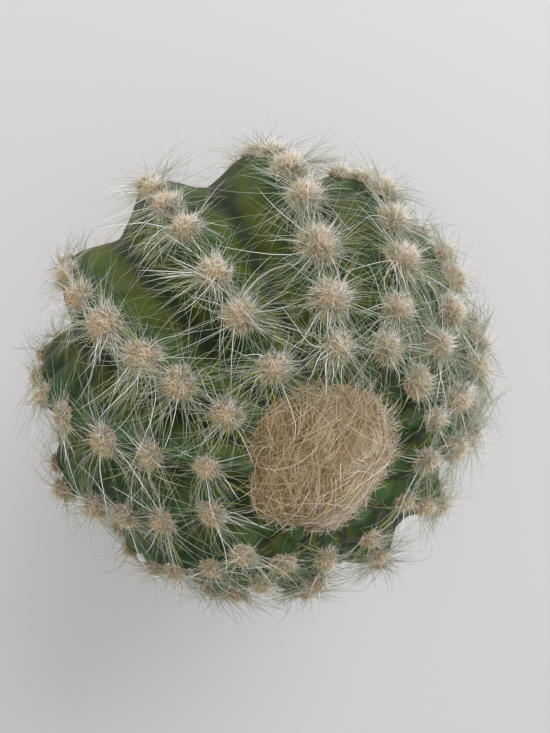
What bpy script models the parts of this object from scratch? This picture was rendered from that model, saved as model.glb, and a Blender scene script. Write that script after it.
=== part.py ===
"""A round, ribbed cactus in a plain plastic pot.

Units are metres and +Z is up. The origin is the centre of the pot's flat base. The ball of the plant
sits in the pot's mouth, and its crown leans towards +Y. The plant has axes of its own: its centre is
the centre of the ball, +Z runs out through the crown, and a bearing of 0 points down the lean.
"""

import math

import bmesh
import bpy
from mathutils import Matrix, Vector

MM = 0.001

# The pot: a tapered plastic cup with a thick band round its mouth.
POT_HEIGHT = 50 * MM
POT_RIM_RADIUS = 27.5 * MM  # outside of the band
POT_BASE_RADIUS = 19 * MM
POT_WALL = 1.0 * MM
POT_FLOOR = 1.4 * MM
BAND_HEIGHT = 9 * MM
BAND_STEP = 1.1 * MM  # how far the band stands out from the wall below it
POT_EDGE = 0.7 * MM  # rounding of the base and of the rim's top
POT_SEGMENTS = 48
DRAIN_COUNT = 6
DRAIN_RADIUS = 1.8 * MM
DRAIN_CIRCLE = 12 * MM  # radius of the ring that the drain holes lie on

# The plant.
BODY_RADIUS = 36 * MM  # centre of the ball to the crest of a rib
RIB_DEGREES = (19, 45, 67, 90, 114, 140, 171, 201, 228, 254, 281, 303, 326, 352)  # bearing of each rib
RIB_COUNT = len(RIB_DEGREES)
RIB_DEPTH = 7.6 * MM
RIB_FACETS = 6  # faces across one rib
CROWN_DIP = 2.2 * MM  # how far the crown sinks below the ball
CROWN_SPREAD = math.radians(22)
BODY_FOOT = math.radians(152)  # polar angle where the ball turns into the root neck
NECK_RADIUS = 6 * MM
ROOT_LENGTH = 15 * MM
ROOT_TIP_RADIUS = 1.5 * MM
LEAN = math.radians(20)

# The areoles: wool cushions along each crest, each with a few spines.
FIRST_AREOLE = 17.6 * MM  # along the crest, from the crown's centre
AREOLE_PITCH = 8.8 * MM
YOUNG_SHARE = 0.22  # the first pitch below the crown is this much shorter
YOUNG_FADE = 0.5  # and each pitch after it is short by this share of the one before
HUMP = 1.2 * MM  # rise of the crest under an areole
WOOL_WIDTH = 4.6 * MM
WOOL_HEIGHT = 2.2 * MM
WOOL_REACH = 0.21  # half a cushion's length, as a share of the pitch
FELT_WIDTH = 0.9 * MM  # the thin strip of felt between two cushions
FELT_HEIGHT = 0.4 * MM
SPINE_LENGTH = 8.5 * MM
SPINE_WIDTH = 0.45 * MM
SPINE_SPLAY = math.radians(20)

# The crown's pad of wool.
CROWN_WOOL_RADIUS = 10 * MM
CROWN_WOOL_HEIGHT = 3.6 * MM
CROWN_WOOL_EDGE = 0.8 * MM  # thickness where the pad ends
CROWN_SEGMENTS = 28

# How the pieces meet.
GAP = 0.3 * MM  # between pieces that touch
SOCKET_CLEARANCE = 0.4 * MM  # between the stem and the soil it stands in
MOUTH_CLEARANCE = 1.2 * MM  # between the wool of the ball and the inside of the mouth
HEADSPACE = 4.5 * MM  # the soil's surface below the rim
SPINE_CLEARANCE = 1.5 * MM  # between the lowest spines and the rim


def clear_scene():
    for obj in list(bpy.data.objects):
        bpy.data.objects.remove(obj, do_unlink=True)


def plain_material(name, colour, roughness, metallic=0.0):
    material = bpy.data.materials.new(name)
    material.use_nodes = True
    shader = material.node_tree.nodes["Principled BSDF"]
    shader.inputs["Base Color"].default_value = (*colour, 1.0)
    shader.inputs["Roughness"].default_value = roughness
    shader.inputs["Metallic"].default_value = metallic
    return material


def add_object(name, bm, material=None, smooth_angle=math.radians(40)):
    """One object from a bmesh, with the bmesh's places kept as world places."""
    mesh = bpy.data.meshes.new(name)
    bmesh.ops.recalc_face_normals(bm, faces=bm.faces)
    bm.to_mesh(mesh)
    bm.free()
    if material:
        mesh.materials.append(material)
    mesh.shade_smooth()
    mesh.set_sharp_from_angle(angle=smooth_angle)
    obj = bpy.data.objects.new(name, mesh)
    bpy.context.scene.collection.objects.link(obj)
    return obj


def as_cutter(obj):
    obj.hide_render = True
    obj.display_type = "WIRE"
    return obj


def cut(obj, cutter):
    modifier = obj.modifiers.new(f"cut by {cutter.name}", "BOOLEAN")
    modifier.operation = "DIFFERENCE"
    modifier.solver = "EXACT"
    modifier.object = cutter


def turned(profile, segments, matrix=None):
    """A bmesh turned about Z from (radius, height) points that start and end on the axis."""
    bm = bmesh.new()
    ring = [bm.verts.new((radius, 0, height)) for radius, height in profile]
    edges = [bm.edges.new(pair) for pair in zip(ring, ring[1:])]
    bmesh.ops.spin(
        bm, geom=ring + edges, cent=(0, 0, 0), axis=(0, 0, 1), angle=math.tau, steps=segments
    )
    bmesh.ops.remove_doubles(bm, verts=bm.verts, dist=0.001 * MM)
    if matrix:
        bmesh.ops.transform(bm, matrix=matrix, verts=bm.verts)
    return bm


def smooth_step(low, high, value):
    """0 below low, 1 above high and an S-curve between them."""
    share = min(max((value - low) / (high - low), 0.0), 1.0)
    return share * share * (3 - 2 * share)


# ---------------------------------------------------------------- pot and soil


def pot_outside(height):
    """Radius of the pot's tapered wall, outside, at a height."""
    top = POT_RIM_RADIUS - BAND_STEP
    return POT_BASE_RADIUS + (top - POT_BASE_RADIUS) * height / POT_HEIGHT


def pot_inside(height):
    return pot_outside(height) - POT_WALL


def arc_points(centre, radius, start, end, count):
    """Points on an arc, with angles in degrees from the radial direction towards +Z."""
    angles = [math.radians(start + (end - start) * i / count) for i in range(count + 1)]
    return [
        (centre[0] + radius * math.cos(a), centre[1] + radius * math.sin(a)) for a in angles
    ]


def make_pot(material):
    band_foot = POT_HEIGHT - BAND_HEIGHT
    top = POT_HEIGHT - POT_EDGE
    profile = [(0, 0)]
    profile += arc_points((POT_BASE_RADIUS - POT_EDGE, POT_EDGE), POT_EDGE, -90, 0, 2)
    profile += [(pot_outside(band_foot), band_foot), (POT_RIM_RADIUS, band_foot)]
    profile += arc_points((POT_RIM_RADIUS - POT_EDGE, top), POT_EDGE, 0, 90, 3)
    profile += arc_points((pot_inside(top) + POT_EDGE, top), POT_EDGE, 90, 180, 3)
    profile += [(pot_inside(2 * POT_FLOOR), 2 * POT_FLOOR)]
    profile += [(pot_inside(POT_FLOOR) - POT_FLOOR / 2, POT_FLOOR), (0, POT_FLOOR)]
    pot = add_object("pot", turned(profile, POT_SEGMENTS), material)
    holes = bmesh.new()
    for hole in range(DRAIN_COUNT):
        place = Matrix.Rotation(math.tau * hole / DRAIN_COUNT, 4, "Z")
        place = place @ Matrix.Translation((DRAIN_CIRCLE, 0, POT_FLOOR / 2))
        bmesh.ops.create_cone(
            holes,
            cap_ends=True,
            segments=12,
            radius1=DRAIN_RADIUS,
            radius2=DRAIN_RADIUS,
            depth=4 * POT_FLOOR,
            matrix=place,
        )
    cut(pot, as_cutter(add_object("drain_cutter", holes)))
    return pot


def make_soil(material, plant):
    bottom = POT_FLOOR + GAP
    corner = 2 * POT_FLOOR + GAP
    top = POT_HEIGHT - HEADSPACE
    profile = [
        (0, bottom),
        (pot_inside(POT_FLOOR) - POT_FLOOR / 2 - GAP, bottom),
        (pot_inside(corner) - 1.2 * GAP, corner),
        (pot_inside(top) - GAP, top),
        (0, top),
    ]
    soil = add_object("soil", turned(profile, POT_SEGMENTS), material)
    socket = body_mesh(plant)
    bmesh.ops.recalc_face_normals(socket, faces=socket.faces)
    socket.normal_update()
    for vertex in socket.verts:
        vertex.co += vertex.normal * SOCKET_CLEARANCE * vertex.calc_shell_factor()
    cut(soil, as_cutter(add_object("soil_socket", socket)))
    return soil


# ---------------------------------------------------------------- the plant's shape


def ball_height():
    """Height of the ball's centre, where its wool just clears the mouth."""
    woolly = BODY_RADIUS + WOOL_HEIGHT
    mouth = pot_inside(POT_HEIGHT) - MOUTH_CLEARANCE
    return POT_HEIGHT + math.sqrt(woolly**2 - mouth**2)


def plant_matrix():
    """The plant's own axes in the pot's frame: +X down the lean, +Z out through the crown."""
    axis = Vector((0, math.sin(LEAN), math.cos(LEAN)))
    down = Vector((0, math.cos(LEAN), -math.sin(LEAN)))
    side = axis.cross(down)
    turn = Matrix((down, side, axis)).transposed().to_4x4()
    return Matrix.Translation((0, 0, ball_height())) @ turn


def bearing(turn):
    """The bearing of a place counted in ribs: 0 is the first crest and 0.5 the furrow after it."""
    rib = math.floor(turn)
    near = RIB_DEGREES[rib % RIB_COUNT]
    gap = (RIB_DEGREES[(rib + 1) % RIB_COUNT] - near) % 360
    return math.radians(near + gap * (turn - rib))


def areole_polars():
    """Polar angles of the areoles from the crown to the foot, with the pitch that they keep."""
    polars, along, short = [], FIRST_AREOLE, YOUNG_SHARE
    while along / BODY_RADIUS < BODY_FOOT:
        pitch = AREOLE_PITCH * (1 - short)
        polars.append((along / BODY_RADIUS, pitch / BODY_RADIUS))
        along += pitch
        short *= YOUNG_FADE
    return polars


def hump_share(polar):
    """1 at an areole, 0 half a pitch away from it."""
    nearest, pitch = min(areole_polars(), key=lambda areole: abs(areole[0] - polar))
    away = abs(polar - nearest) / pitch
    return 0.5 + 0.5 * math.cos(math.tau * min(away, 0.5))


def crest_radius(polar):
    """Distance from the ball's centre to the crest, without the humps."""
    return BODY_RADIUS - CROWN_DIP * math.exp(-((polar / CROWN_SPREAD) ** 2))


def rib_depth(polar):
    """Depth of the furrow between two ribs: none at the crown, full at the waist, shallow at the foot."""
    grown = smooth_step(math.radians(4), math.radians(60), polar)
    worn = 1 - 0.75 * smooth_step(math.radians(115), BODY_FOOT, polar)
    return RIB_DEPTH * grown * worn


def body_place(polar, turn):
    """A place on the ball, at a polar angle from the crown and a turn counted in ribs."""
    across = 2 * abs(turn - round(turn))  # 0 on a crest and 1 in a furrow
    radius = crest_radius(polar) - rib_depth(polar) * across**1.6
    radius += HUMP * (hump_share(polar) - 1) * (1 - across) ** 2
    around = bearing(turn)
    flat = radius * math.sin(polar)
    return Vector((flat * math.cos(around), flat * math.sin(around), radius * math.cos(polar)))


def body_stations():
    """Polar angles of the ball's rings, on each areole and half way to the next one."""
    first = areole_polars()[0][0]
    polars = [first * share for share in (0.25, 0.5, 0.75)]
    for polar, pitch in areole_polars():
        polars += [polar, polar + pitch / 2]
    return [polar for polar in polars if polar < BODY_FOOT - math.radians(2)] + [BODY_FOOT]


def neck_rings():
    """(radius, height) of the root neck below the ball, in the plant's axes. The last is its sole."""
    foot_radius = (BODY_RADIUS - rib_depth(BODY_FOOT)) * math.sin(BODY_FOOT)
    foot_height = BODY_RADIUS * math.cos(BODY_FOOT)
    sole = -BODY_RADIUS - NECK_RADIUS / 4
    return [
        ((foot_radius + NECK_RADIUS) / 2, (foot_height + sole) / 2 + foot_height * 0.03),
        (NECK_RADIUS, sole),
    ]


def ring_about(centre, radius, turns):
    """Places round a centre, level in the axes it is given in, one for each turn."""
    around = [bearing(turn) for turn in turns]
    return [centre + Vector((radius * math.cos(a), radius * math.sin(a), 0)) for a in around]


def root_rings(plant, turns):
    """Rings of the taproot, in the pot's frame. However the ball leans, its root grows straight down."""
    sole = plant @ Vector((0, 0, neck_rings()[-1][1]))
    heading = plant.to_3x3() @ Vector((1, 0, 0))
    spin = Matrix.Rotation(math.atan2(heading.y, heading.x), 3, "Z")
    rings = []
    for radius, drop in ((0.6 * NECK_RADIUS, ROOT_LENGTH / 2), (ROOT_TIP_RADIUS, ROOT_LENGTH)):
        centre = sole - Vector((0, 0, drop))
        rings.append([centre + spin @ place for place in ring_about(Vector(), radius, turns)])
    return rings


def body_mesh(plant):
    """The stem as one closed skin: crown, ribbed ball, root neck and taproot."""
    bm = bmesh.new()
    turns = [column / RIB_FACETS for column in range(RIB_COUNT * RIB_FACETS)]
    places = [[body_place(polar, turn) for turn in turns] for polar in body_stations()]
    places += [ring_about(Vector((0, 0, height)), radius, turns) for radius, height in neck_rings()]
    places = [[plant @ place for place in ring] for ring in places] + root_rings(plant, turns)
    rings = [[bm.verts.new(place) for place in ring] for ring in places]
    crown = bm.verts.new(plant @ Vector((0, 0, crest_radius(0) - HUMP)))
    sole = plant @ Vector((0, 0, neck_rings()[-1][1]))
    tip = bm.verts.new(sole - Vector((0, 0, ROOT_LENGTH + ROOT_TIP_RADIUS)))
    for i in range(len(turns)):
        j = (i + 1) % len(turns)
        bm.faces.new((crown, rings[0][i], rings[0][j]))
        bm.faces.new((tip, rings[-1][j], rings[-1][i]))
        for upper, lower in zip(rings, rings[1:]):
            bm.faces.new((upper[i], lower[i], lower[j], upper[j]))
    return bm


# ---------------------------------------------------------------- wool and spines


def crest_frame(polar, rib):
    """Place on a rib's crest, with the direction across the rib and the direction out of the ball."""
    around = bearing(rib)
    across = Vector((-math.sin(around), math.cos(around), 0))
    out = Vector((math.sin(polar) * across.y, -math.sin(polar) * across.x, math.cos(polar)))
    return body_place(polar, rib), across, out


def row_areoles(plant, rib):
    """The areoles of one rib that have room for their spines above the pot's rim."""
    kept = []
    for polar, pitch in areole_polars():
        place, _, out = crest_frame(polar, rib)
        tip = plant @ (place + out * (WOOL_HEIGHT + SPINE_LENGTH))
        if tip.z > POT_HEIGHT + SPINE_CLEARANCE:
            kept.append((polar, pitch))
    return kept


def wool_section(base, across, out, width, height):
    """The four corners of a cross-section of wool, narrower at its top than at its base."""
    return [
        base - across * width * 0.5,
        base + across * width * 0.5,
        base + across * width * 0.3 + out * height,
        base - across * width * 0.3 + out * height,
    ]


def wool_sections(areoles, rib):
    """Cross-sections down one rib: two for each cushion and one in each strip of felt between."""
    sections = []
    for index, (polar, pitch) in enumerate(areoles):
        place, across, out = crest_frame(polar, rib)
        half_long = across.cross(out) * WOOL_REACH * pitch * BODY_RADIUS
        grown = 0.8 + 0.2 * min(index / 3, 1)
        for end in (place - half_long, place + half_long):
            base = end + out * GAP
            sections.append(wool_section(base, across, out, WOOL_WIDTH * grown, WOOL_HEIGHT * grown))
        if index + 1 < len(areoles):
            middle, across, out = crest_frame(polar + pitch / 2, rib)
            sections.append(wool_section(middle + out * GAP, across, out, FELT_WIDTH, FELT_HEIGHT))
    return sections


def spine_splay(polar, rib):
    """How far a cushion's side spines lean over, kept within the rib's own share of the ball."""
    gaps = [abs(bearing(rib + side) - bearing(rib)) % math.tau for side in (-1, 1)]
    gap = min(min(gap, math.tau - gap) for gap in gaps)
    room = BODY_RADIUS * math.sin(polar) * gap / 2 - GAP
    return min(SPINE_SPLAY, math.asin(room / (WOOL_WIDTH + SPINE_LENGTH)))


def grow_spine(bm, face, tip):
    """Draws one face of a cushion out into a needle that ends at tip."""
    bmesh.ops.inset_individual(bm, faces=[face], thickness=SPINE_WIDTH)
    centre = face.calc_center_median()
    for vertex in face.verts:
        vertex.co = centre + (vertex.co - centre).normalized() * SPINE_WIDTH * 0.7
    poked = bmesh.ops.poke(bm, faces=[face])
    poked["verts"][0].co = tip


def make_areole_row(rib, plant, material):
    """One rib's row of wool cushions joined by felt, with three spines on each cushion."""
    areoles = row_areoles(plant, rib)
    bm = bmesh.new()
    rings = [
        [bm.verts.new(plant @ corner) for corner in section]
        for section in wool_sections(areoles, rib)
    ]
    bm.faces.new(rings[0])
    bm.faces.new(rings[-1][::-1])
    walls = []  # the right, top and left face of each stretch from one ring to the next
    for near, far in zip(rings, rings[1:]):
        sides = [bm.faces.new((near[i], far[i], far[i - 3], near[i - 3])) for i in range(4)]
        walls.append(sides[1:])
    bmesh.ops.recalc_face_normals(bm, faces=bm.faces)
    for (polar, _), cushion in zip(areoles, walls[::3]):
        place, across, out = crest_frame(polar, rib)
        lean = spine_splay(polar, rib)
        for face, splay in zip(cushion, (lean, 0.0, -lean)):
            aim = out * math.cos(splay) + across * math.sin(splay)
            foot = place + across * math.sin(splay) * WOOL_WIDTH + out * WOOL_HEIGHT / 2
            grow_spine(bm, face, plant @ (foot + aim * SPINE_LENGTH))
    return add_object(f"areole_row_{rib + 1:02d}", bm, material)


def make_crown_wool(plant, material):
    """The pad of wool that covers the growing point, a low dome with a flat foot."""
    rings = 4
    under, over = [], []
    for step in range(rings + 1):
        share = step / rings
        polar = share * CROWN_WOOL_RADIUS / BODY_RADIUS
        radius = crest_radius(polar) + GAP
        rise = CROWN_WOOL_EDGE + CROWN_WOOL_HEIGHT * (1 - share**2)
        under.append((radius * math.sin(polar), radius * math.cos(polar)))
        over.append((radius * math.sin(polar), radius * math.cos(polar) + rise))
    profile = under + over[::-1]
    return add_object("crown_wool", turned(profile, CROWN_SEGMENTS, plant), material)


def main():
    clear_scene()
    plastic = plain_material("pot_plastic", (0.36, 0.15, 0.085), 0.55)
    earth = plain_material("potting_soil", (0.045, 0.03, 0.02), 0.95)
    flesh = plain_material("cactus_skin", (0.06, 0.13, 0.045), 0.45)
    wool = plain_material("areole_wool", (0.55, 0.42, 0.28), 0.9)
    crown = plain_material("crown_wool", (0.42, 0.31, 0.18), 0.9)
    plant = plant_matrix()
    make_pot(plastic)
    make_soil(earth, plant)
    add_object("cactus_body", body_mesh(plant), flesh)
    for rib in range(RIB_COUNT):
        make_areole_row(rib, plant, wool)
    make_crown_wool(plant, crown)


main()
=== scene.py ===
# %% [markdown]
# # A round cactus in its pot
#
# The design gives the frame: where the pot stands, where the ball of the plant sits in it and how far its
# crown leans. This lesson grows the looks around that frame: a waxy ribbed skin, a woolly cushion on every
# areole, thousands of fine bristles, the matted wool of the crown, loose soil and a moulded pot.

import bpy
import numpy as np
from mathutils import Matrix, Vector


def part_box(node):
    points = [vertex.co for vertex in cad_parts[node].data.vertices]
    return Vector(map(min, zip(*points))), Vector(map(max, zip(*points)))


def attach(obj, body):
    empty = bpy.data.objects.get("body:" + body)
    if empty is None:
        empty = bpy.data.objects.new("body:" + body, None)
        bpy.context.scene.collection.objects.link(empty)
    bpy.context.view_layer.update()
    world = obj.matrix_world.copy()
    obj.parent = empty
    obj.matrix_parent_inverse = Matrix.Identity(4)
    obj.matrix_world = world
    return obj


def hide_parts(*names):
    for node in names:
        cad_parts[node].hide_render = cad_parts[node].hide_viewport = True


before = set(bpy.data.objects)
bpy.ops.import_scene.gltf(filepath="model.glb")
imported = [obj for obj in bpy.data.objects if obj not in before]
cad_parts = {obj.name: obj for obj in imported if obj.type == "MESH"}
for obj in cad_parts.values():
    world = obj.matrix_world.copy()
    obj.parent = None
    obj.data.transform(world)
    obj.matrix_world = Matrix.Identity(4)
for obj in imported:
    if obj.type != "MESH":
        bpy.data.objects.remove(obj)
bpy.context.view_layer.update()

# %% [markdown]
# ## The sizes that everything follows
#
# The plant is a ball with ribs, so it is easiest to describe from its own centre, with an axis that runs out
# through the crown. These are the design's own numbers, in metres. A place on the skin has two numbers: how
# far round it is, counted in ribs, and its polar angle down from the crown.

# %% Sizes
MM = 0.001
RIB_DEGREES = (19, 45, 67, 90, 114, 140, 171, 201, 228, 254, 281, 303, 326, 352)
RIB_COUNT = len(RIB_DEGREES)
BALL_RADIUS = 36 * MM
RIB_DEPTH = 7.6 * MM
CROWN_DIP = 2.2 * MM
CROWN_SPREAD = np.radians(22)
BODY_FOOT = np.radians(152)
NECK_RADIUS = 6 * MM
ROOT_LENGTH = 15 * MM
SOLE = -BALL_RADIUS - NECK_RADIUS / 4  # height of the neck, from the ball's centre
LEAN = np.radians(20)
FIRST_AREOLE = 17.6 * MM
AREOLE_PITCH = 8.8 * MM
YOUNG_SHARE = 0.22  # how much shorter the first pitch is, and how fast the next ones catch up
YOUNG_FADE = 0.5
HUMP = 1.5 * MM  # how far the crest dips between two areoles
CREASE = 1.0 * MM  # depth of the creases that cross a rib's flanks

POT_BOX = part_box("pot")
POT_HEIGHT = POT_BOX[1][2]
POT_RADIUS = POT_BOX[1][0]
SOIL_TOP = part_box("soil")[1][2]
BALL_CENTRE = (0, 0, 79.56 * MM)


def plant_matrix():
    """The plant's own axes in the frame: X down the lean, Z out through the crown."""
    down, across = (0, np.cos(LEAN), -np.sin(LEAN)), (-1, 0, 0)
    axis = (0, np.sin(LEAN), np.cos(LEAN))
    return np.array([down, across, axis]).T


PLANT_TURN = plant_matrix()


def to_frame(points):
    """Places in the plant's axes, moved into the frame."""
    return points @ PLANT_TURN.T + np.array(BALL_CENTRE)


print("ball centre", BALL_CENTRE, "pot", POT_RADIUS, POT_HEIGHT)

# %% [markdown]
# ## Numbers in bulk
#
# A plant is never quite even. Smooth noise gives it slow swells, and it is only a sum of waves that run in
# random directions. Every shape below is a whole array of points, so one helper hands arrays to Blender.

# %% Array helpers
SWELL_WAVES = 14
SWELL_PEAK = 1.6  # the noise's usual peak, in its own root mean square


def smooth_step(low, high, value):
    """0 below low, 1 above high and the curve 3s^2 - 2s^3 between them."""
    share = np.clip((value - low) / (high - low), 0, 1)
    return share * share * (3 - 2 * share)


def unit(vectors):
    """The vectors brought to length one."""
    return vectors / np.maximum(np.linalg.norm(vectors, axis=-1, keepdims=True), 1e-12)


def swell(points, size, seed):
    """Smooth noise, about -1 to 1: a sum of cosine waves of roughly one length in random directions."""
    rng = np.random.default_rng(seed)
    heading = unit(rng.normal(size=(SWELL_WAVES, 3)))
    pitch = 2 * np.pi / size * rng.uniform(0.6, 1.5, SWELL_WAVES)
    phase = rng.uniform(0, 2 * np.pi, SWELL_WAVES)
    waves = np.cos(points @ (heading * pitch[:, None]).T + phase)
    return waves.sum(-1) * np.sqrt(2 / SWELL_WAVES) / SWELL_PEAK


def bearings(columns):
    """Even bearings once round, in radians."""
    return np.linspace(0, 2 * np.pi, columns, endpoint=False)


def around_axis(radius, angle, height):
    """Places round the upright axis: x = radius cos(angle), y = radius sin(angle), z = height."""
    return np.stack(np.broadcast_arrays(radius * np.cos(angle), radius * np.sin(angle), height), -1)


def flat(x, y):
    """Places at height 0, for noise that doesn't change with height."""
    return np.stack([x, y, 0 * x], -1)


# %% Meshes from arrays
def new_object(name, data):
    """An object that shows the data, linked to the scene."""
    thing = bpy.data.objects.new(name, data)
    bpy.context.scene.collection.objects.link(thing)
    return thing


def make_piece(name, points, face_sets, material, uv=None, smooth=True):
    """A mesh object from an array of points and arrays of faces, each with three or four corners."""
    corners = np.concatenate([faces.ravel() for faces in face_sets]).astype(np.int32)
    sizes = np.concatenate([np.full(len(faces), faces.shape[1]) for faces in face_sets]).astype(np.int32)
    mesh = bpy.data.meshes.new(name)
    mesh.vertices.add(len(points))
    mesh.vertices.foreach_set("co", np.ascontiguousarray(points, np.float32).ravel())
    mesh.loops.add(len(corners))
    mesh.loops.foreach_set("vertex_index", corners)
    mesh.polygons.add(len(sizes))
    mesh.polygons.foreach_set("loop_start", np.concatenate([[0], np.cumsum(sizes)[:-1]]).astype(np.int32))
    mesh.polygons.foreach_set("use_smooth", np.full(len(sizes), smooth))
    if uv is not None:
        layer = mesh.uv_layers.new(name="OFBake")
        layer.data.foreach_set("uv", uv[corners].astype(np.float32).ravel())
    mesh.materials.append(material)
    mesh.update(calc_edges=True)
    mesh.validate()
    piece = new_object(name, mesh)
    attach(piece, "root")
    return piece


def ring_faces(rings, columns):
    """Four-cornered faces between rings of points that close on themselves, ring after ring."""
    ring = np.arange(rings - 1)[:, None] * columns
    here, after = ring + np.arange(columns), ring + (np.arange(columns) + 1) % columns
    return np.stack([here, here + columns, after + columns, after], -1).reshape(-1, 4)


def cap_faces(start, columns, pole, upward):
    """Three-cornered faces from one ring of points to a pole."""
    here = start + np.arange(columns)
    after = start + (np.arange(columns) + 1) % columns
    pole = np.full(columns, pole)
    return np.stack([pole, here, after] if upward else [pole, after, here], -1)


def closed_shape(rings, top, foot):
    """Points and faces of a closed shape: rings from its top down, then a point on top and one under it."""
    rows, columns, _ = rings.shape
    count = rows * columns
    points = np.concatenate([rings.reshape(-1, 3), [top, foot]])
    upper = cap_faces(0, columns, count, True)
    lower = cap_faces(count - columns, columns, count + 1, False)
    return points, [ring_faces(rows, columns), np.concatenate([upper, lower])]


# %% [markdown]
# ## Shader sums
#
# A material is a recipe of nodes. Sums of sockets are easier to read as Python than as a web of Math nodes,
# so one small class wraps a socket, and each operator on it adds the Math node that it stands for.

# %% Shader helpers
class Value:
    """A node's output that can stand in a sum: each operator adds the Math node that it names."""

    def __init__(self, recipe, socket):
        self.recipe = recipe
        self.socket = socket

    def math(self, operation, *values):
        return self.recipe.node("ShaderNodeMath", {"operation": operation}, dict(enumerate(values)))

    def __add__(self, other):
        return self.math("ADD", self, other)

    def __rsub__(self, other):
        return self.math("SUBTRACT", other, self)

    def __mul__(self, other):
        return self.math("MULTIPLY", self, other)

    __radd__ = __add__
    __rmul__ = __mul__

    def between(self, low, high):
        """0 where the value is below low, 1 above high, smooth between."""
        settings = {"interpolation_type": "SMOOTHSTEP"}
        return self.recipe.node("ShaderNodeMapRange", settings, {0: self, 1: low, 2: high})


class Recipe:
    """The node tree of one material."""

    def __init__(self, name, **constants):
        self.material = bpy.data.materials.new(name)
        self.material.use_nodes = True
        self.tree = self.material.node_tree
        self.shader = self.tree.nodes["Principled BSDF"]
        for socket, value in constants.items():
            self.shader.inputs[socket.replace("_", " ")].default_value = value

    def node(self, kind, settings=None, inputs=None, output=0):
        """Any node: its type, its settings, and the values or links of its sockets."""
        node = self.tree.nodes.new(kind)
        for name, value in (settings or {}).items():
            if name == "stops":
                self.set_stops(node.color_ramp, value)
            else:
                setattr(node, name, value)
        for key, value in (inputs or {}).items():
            self.join(value, node.inputs[key])
        return Value(self, node.outputs[output])

    def set_stops(self, ramp, stops):
        while len(ramp.elements) < len(stops):
            ramp.elements.new(0.5)
        for element, (place, colour) in zip(ramp.elements, stops):
            element.position = place
            element.color = (*colour, 1)

    def join(self, value, socket):
        if isinstance(value, Value):
            self.tree.links.new(value.socket, socket)
        elif isinstance(value, tuple) and socket.type == "RGBA":
            socket.default_value = (*value, 1)
        else:
            socket.default_value = value

    def feed(self, socket, value):
        """Joins a value to one of the shader's own sockets."""
        self.join(value, self.shader.inputs[socket])

    def mix(self, share, first, second):
        """A colour part of the way from the first to the second."""
        return self.node("ShaderNodeMix", {"data_type": "RGBA"}, {0: share, 6: first, 7: second}, 2)

    def place(self):
        return self.node("ShaderNodeTexCoord", output="Object")

    def noise(self, scale, detail, roughness):
        """Cloudy noise with this many lumps to a metre."""
        inputs = {"Vector": self.place(), "Scale": scale, "Detail": detail, "Roughness": roughness}
        return self.node("ShaderNodeTexNoise", {}, inputs)

    def attribute(self, name):
        return self.node("ShaderNodeAttribute", {"attribute_name": name}, output="Fac")

    def bump(self, height, distance, strength=1.0):
        """Raises the surface by the height times the distance, which is in metres."""
        inputs = {"Height": height, "Distance": distance, "Strength": strength}
        self.feed("Normal", self.node("ShaderNodeBump", {}, inputs))


# %% [markdown]
# ## The skin
#
# The stem is one fleshy ball. Its ribs are pleats that swell with water: a rounded crest, straight flanks and
# a narrow furrow with a rounded floor. Under each areole the crest lifts into a low hump, and shallow creases
# cross the flanks between the humps. Sculpting could make this, but then the wool would have nothing to grow
# from. As a formula, the same function that shapes the skin also tells each hair where its root is.

# %% Places of the areoles
def areole_polars():
    """Polar angles of the areoles and the pitch at each: short pitches near the crown, even ones below."""
    polars, pitches, along, short = [], [], FIRST_AREOLE, YOUNG_SHARE
    while along / BALL_RADIUS < BODY_FOOT:
        pitch = AREOLE_PITCH * (1 - short)
        polars.append(along / BALL_RADIUS)
        pitches.append(pitch / BALL_RADIUS)
        along += pitch
        short *= YOUNG_FADE
    return np.array(polars), np.array(pitches)


AREOLE_POLARS, AREOLE_PITCHES = areole_polars()
print("areoles down a rib", np.degrees(AREOLE_POLARS).round(1))

# %% Shape of the skin
# Polar angles, in degrees, from which and by which something has changed down the skin.
FURROWS_DEEPEN = (4, 58)
HUMPS_RISE = (10, 30)
FLESH_FILLS = (58, 96)
LEANING_SIDE_FILLS = (40, 62)
FURROWS_FADE = (115, np.degrees(BODY_FOOT))


def down_skin(span, polar):
    """0 nearer the crown than the span of polar angles, 1 beyond it, smooth between."""
    return smooth_step(*np.radians(span), polar)


def bearing(turn):
    """The bearing at a turn: straight from each rib's bearing to the next."""
    knots = np.append(RIB_DEGREES, RIB_DEGREES[0] + 360)
    whole = np.floor(turn / RIB_COUNT)
    return np.radians(np.interp(turn - whole * RIB_COUNT, np.arange(RIB_COUNT + 1), knots) + 360 * whole)


def hump_phase(polar):
    """Counts areoles down the rib: 0 at the first one, 0.5 half way to the second."""
    count = len(AREOLE_POLARS)
    knots = np.concatenate([[AREOLE_POLARS[0] - AREOLE_PITCHES[0] * 2], AREOLE_POLARS])
    return np.interp(polar, knots, np.concatenate([[-2], np.arange(count)]))


def ball_radius(polar):
    """The ball without its ribs, with the dip of its crown: radius - dip x exp(-(polar / spread)^2)."""
    return BALL_RADIUS - CROWN_DIP * np.exp(-((polar / CROWN_SPREAD) ** 2))


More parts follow.
